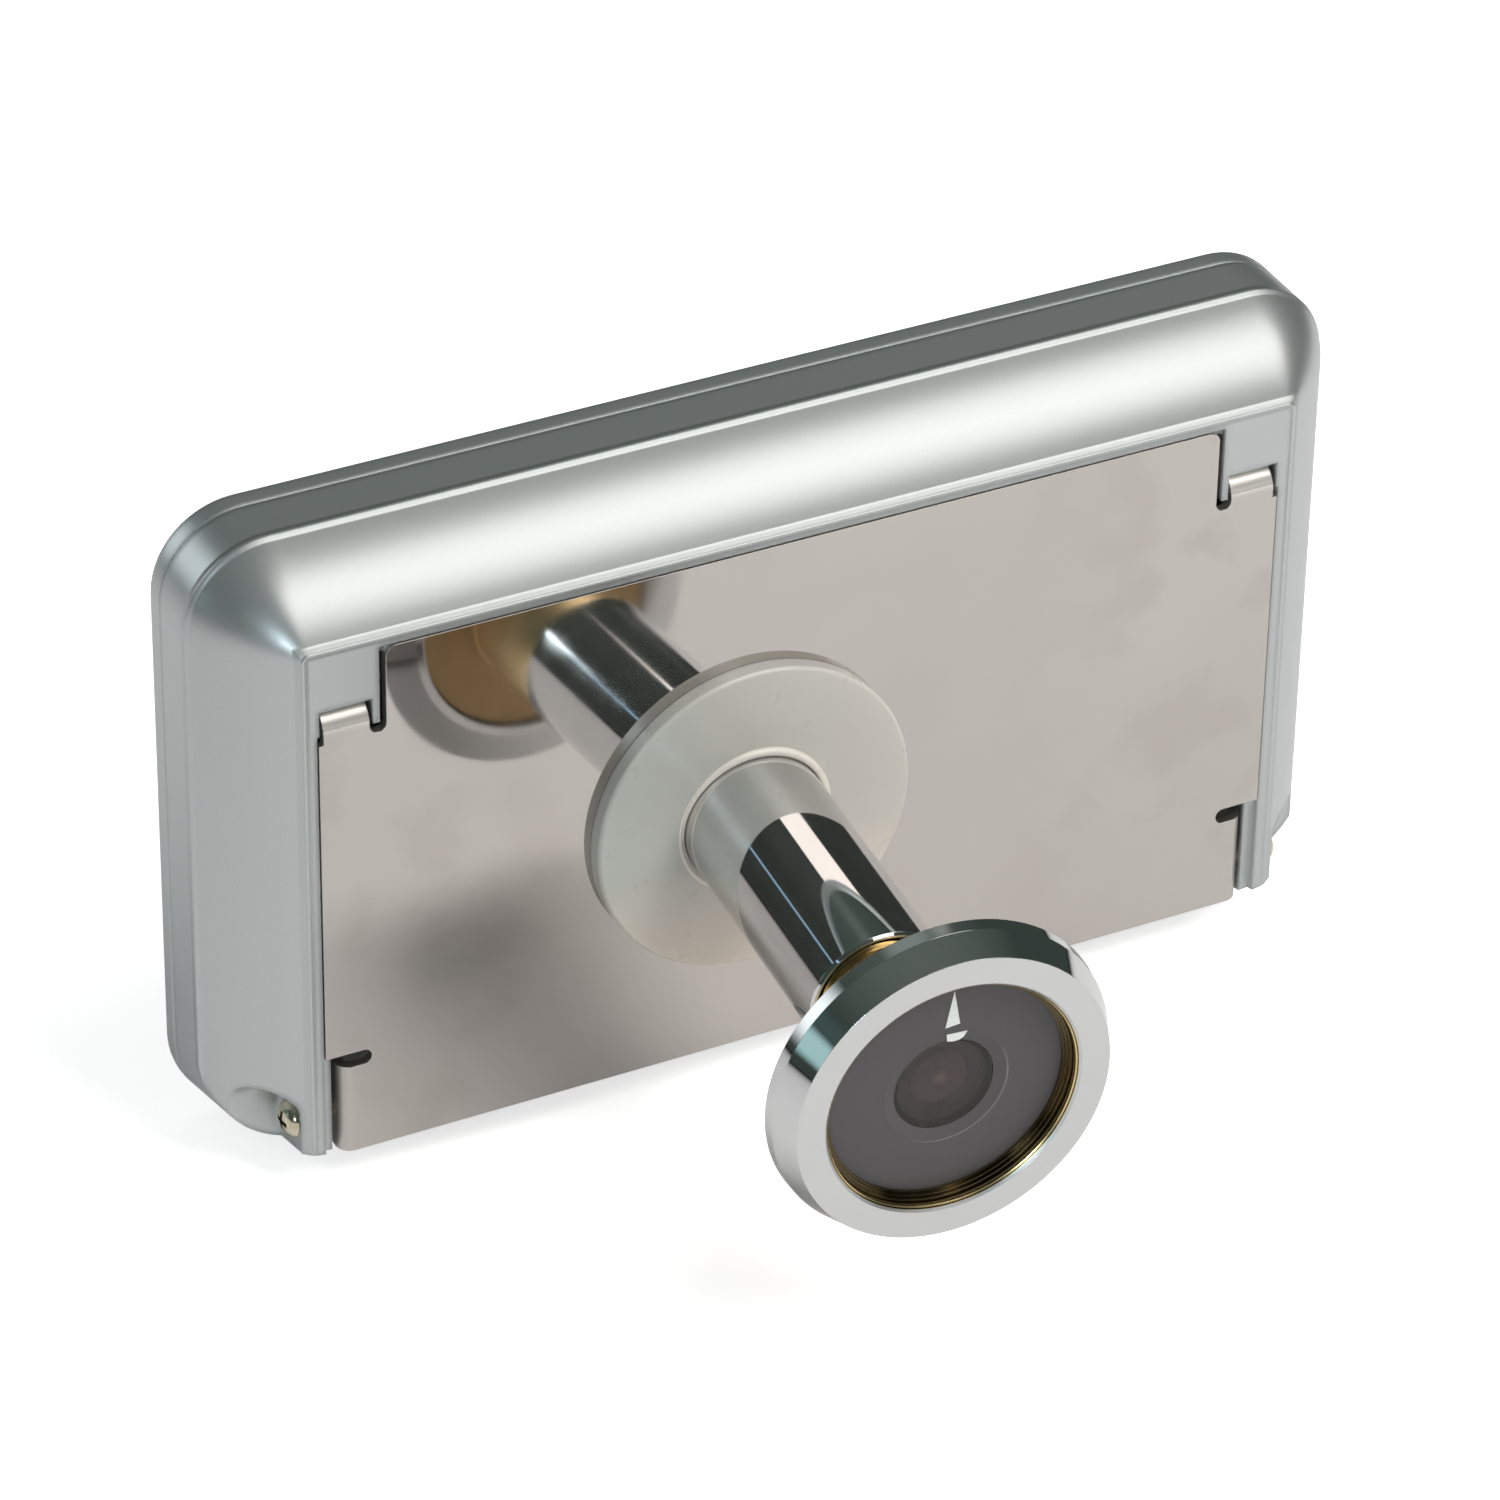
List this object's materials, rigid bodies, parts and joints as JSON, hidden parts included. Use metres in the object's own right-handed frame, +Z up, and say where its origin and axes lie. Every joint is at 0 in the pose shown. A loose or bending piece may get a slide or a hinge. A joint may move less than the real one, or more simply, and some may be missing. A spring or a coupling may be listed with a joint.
{
  "type": "peephole door camera",
  "caption": "Peephole door camera: a chromed camera barrel through a washer and steel plate that carries a silver monitor case with screen, button and battery door.",
  "frame": {"origin": "centre of the washer's flat face that lies on the door, on the middle of the plate's hole", "axes": "-Y looks out at the visitor through the door, +Y faces the room and the screen, +Z is up"},
  "size_m": [0.1244, 0.0688, 0.0715],
  "materials": {
    "plate_steel": "mirror polished",
    "washer_plastic": "satin moulded",
    "chrome": "polished chrome plate",
    "brass": "polished",
    "face_grey": "fine matt",
    "smoked_glass": "polished",
    "lens_glass": "coated",
    "black_plastic": "fine matt",
    "case_silver": "silver paint, satin",
    "screen_clear": "polished",
    "display_frame": "satin",
    "board_green": "solder resist",
    "button_grey": "silver paint, polished",
    "cell_sleeve": "printed film, unmarked",
    "contact_steel": "nickel plated",
    "screw_nickel": "nickel plated"
  },
  "bodies": {
    "mount_frame": {"mounting_plate": "plate_steel", "gasket_washer": "washer_plastic"},
    "monitor": {"back_shell": "case_silver", "front_shell": "case_silver", "screen_window": "screen_clear", "display_module": "display_frame", "main_board": "board_green", "camera_socket": "black_plastic", "button_board": "board_green", "button_switch": "black_plastic", "battery_cells": "cell_sleeve", "battery_contacts": "contact_steel", "case_screws": "screw_nickel", "board_screws": "screw_nickel"},
    "sleeve": {"barrel_sleeve": "chrome"},
    "camera": {"camera_barrel": "brass", "head_bezel": "chrome", "face_disc": "face_grey", "retaining_ring": "brass", "lens_window": "smoked_glass", "lens_holder": "black_plastic", "camera_lens": "lens_glass", "sensor_board": "board_green"},
    "left_lock": {"lock_screw_left": "screw_nickel"},
    "right_lock": {"lock_screw_right": "screw_nickel"},
    "button": {"view_button": "button_grey"},
    "door": {"battery_door": "case_silver"}
  },
  "joints": [
    {"name": "monitor_lift", "type": "slide", "parent": "mount_frame", "child": "monitor", "axis": [0, 0, 1], "range_m": [0, 0.0026]},
    {"name": "left_lock_out", "type": "slide", "parent": "monitor", "child": "left_lock", "axis": [-1, 0, 0], "range_m": [0, 0.002]},
    {"name": "right_lock_out", "type": "slide", "parent": "monitor", "child": "right_lock", "axis": [1, 0, 0], "range_m": [0, 0.002]},
    {"name": "sleeve_turn", "type": "hinge", "parent": "mount_frame", "child": "sleeve", "pos_m": [0, 0.0018, 0], "axis": [-0.0549, -0.9976, -0.0416], "range_deg": [-5400, 2880]},
    {"name": "camera_draw", "type": "slide", "parent": "mount_frame", "child": "camera", "axis": [-0.0549, -0.9976, -0.0416], "range_m": [-0.008, 0.015]},
    {"name": "view_press", "type": "slide", "parent": "monitor", "child": "button", "axis": [0, -1, 0], "range_m": [0, 0.0007], "stiffness_N_per_m": 300, "springref_m": -0.0005},
    {"name": "battery_door_slide", "type": "slide", "parent": "monitor", "child": "door", "axis": [0, 0, -1], "range_m": [0, 0.01]}
  ],
  "couplings": [
    {"joint": "sleeve_turn", "follows": "camera_draw", "rad_per_m": -6283.2}
  ]
}
